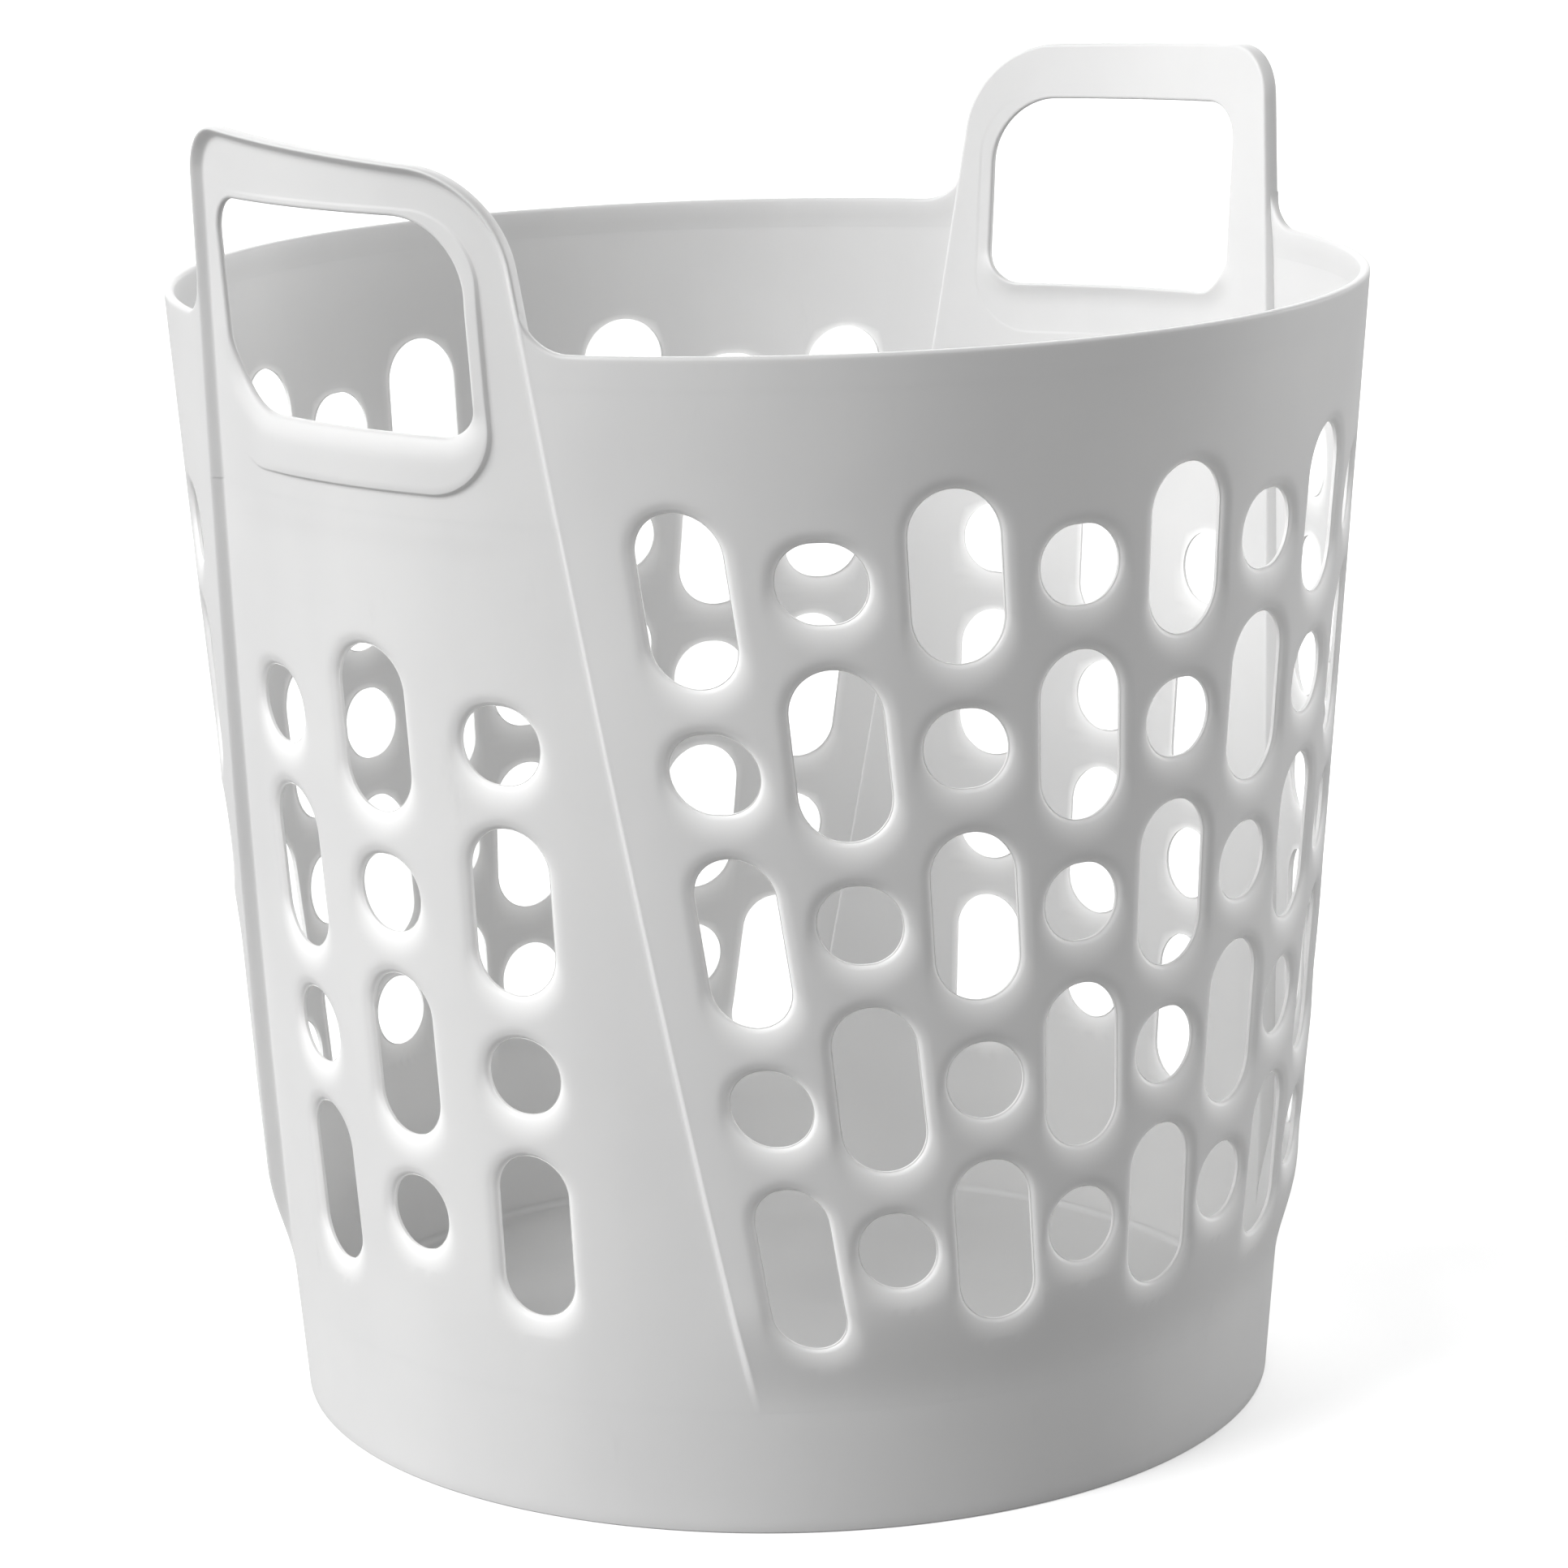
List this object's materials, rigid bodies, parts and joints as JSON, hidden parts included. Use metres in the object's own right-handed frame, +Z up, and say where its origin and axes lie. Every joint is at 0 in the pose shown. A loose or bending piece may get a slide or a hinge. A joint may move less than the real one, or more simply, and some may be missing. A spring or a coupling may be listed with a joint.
{
  "type": "laundry basket",
  "caption": "Round tapered flexible plastic laundry basket, open at the top, with slotted vented walls and two loop handles rising from inset side panels.",
  "frame": {"origin": "centre of the round foot ring, on the face that the basket stands on", "axes": "+Z up out of the open mouth; the two handles lie at -X (left) and +X (right); the front wall faces -Y"},
  "size_m": [0.4272, 0.418, 0.46],
  "materials": {
    "white_plastic": "satin white polyethylene, slightly translucent"
  },
  "bodies": {
    "root": {"base_floor": "white_plastic", "foot_ring": "white_plastic", "front_wall": "white_plastic", "back_wall": "white_plastic", "front_rim": "white_plastic", "back_rim": "white_plastic", "left_panel": "white_plastic", "right_panel": "white_plastic", "left_handle": "white_plastic", "right_handle": "white_plastic"}
  },
  "joints": []
}
